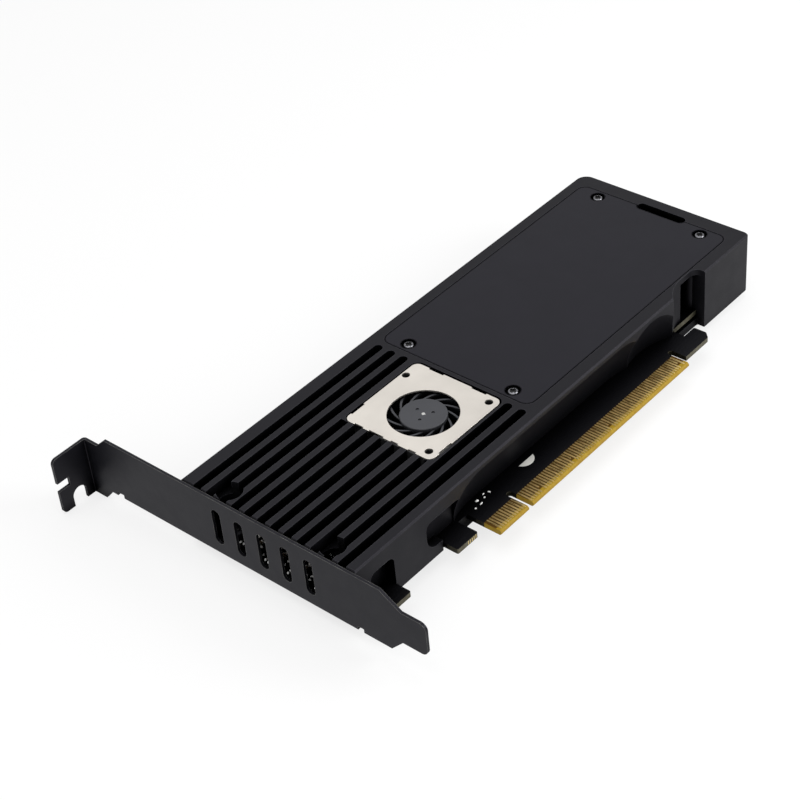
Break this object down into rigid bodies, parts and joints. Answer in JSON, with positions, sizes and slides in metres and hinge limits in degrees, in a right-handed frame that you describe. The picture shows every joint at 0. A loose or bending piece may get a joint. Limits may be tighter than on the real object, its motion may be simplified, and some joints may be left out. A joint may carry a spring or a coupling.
{
  "type": "nvme adapter card",
  "caption": "Full-height slot card that carries solid-state drives under a finned aluminium housing with a screwed lid, a small blower, a slot bracket and a contact edge.",
  "frame": {"origin": "On the slot bracket's outer face, level with the tips of the edge contacts and with the board's component side.", "axes": "+X runs from the bracket to the card's far end, +Y from the edge contacts to the bracket's screw tab, and +Z out of the board's component side, towards the finned housing and the blower."},
  "size_m": [0.1872, 0.12, 0.022],
  "materials": {
    "housing": "black anodised, fine blasted",
    "lid": "black anodised, fine blasted",
    "rear_cover": "black anodised, fine blasted",
    "board": "matt black solder mask on glass-filled board",
    "contacts": "gold plated copper",
    "bracket": "black painted sheet steel, satin",
    "screws": "black zinc",
    "lid_screws": "black nickel, worn bright on the heads",
    "bare_screws": "nickel plated",
    "fan_plate": "pale satin plate, warm silver",
    "fan_frame": "black glass-filled plastic",
    "rotor": "grey moulded plastic, semi matt",
    "magnet": "dark grey, dull",
    "steel": "bright turned steel",
    "bronze": "sintered bronze",
    "chip": "black moulded package",
    "inductor": "grey pressed powder",
    "capacitor": "bright can",
    "ceramic": "tan ceramic with tinned ends",
    "led": "clear white",
    "header": "ivory nylon",
    "socket": "black liquid crystal polymer",
    "pad": "soft grey-blue silicone"
  },
  "bodies": {
    "card": {"bracket": "bracket", "bracket_screws": "screws", "capacitors": "capacitor", "ceramic_capacitors": "ceramic", "circuit_board": "board", "cover_screws": "screws", "drive_screws": "bare_screws", "drive_sockets": "socket", "drive_standoffs": "steel", "edge_contacts_front": "contacts", "edge_contacts_rear": "contacts", "fan_bearing": "bronze", "fan_frame": "fan_frame", "fan_header": "header", "fan_plate": "fan_plate", "fan_screws": "screws", "fan_stator": "magnet", "housing": "housing", "indicator_leds": "led", "inductors": "inductor", "lid": "lid", "lid_pads": "pad", "lid_screws": "lid_screws", "rear_cover": "rear_cover", "rear_drive_screws": "bare_screws", "rear_drive_sockets": "socket", "rear_drive_standoffs": "steel", "rear_pads": "pad", "regulator_chips": "chip", "switch_chip": "chip", "switch_pad": "pad"},
    "rotor": {"fan_rotor": "rotor", "rotor_magnet": "magnet", "rotor_shaft": "steel"}
  },
  "joints": [
    {"name": "fan_spin", "type": "hinge", "parent": "card", "child": "rotor", "pos_m": [0.0574, 0.0348, 0], "axis": [0, 0, 1], "continuous": true}
  ]
}
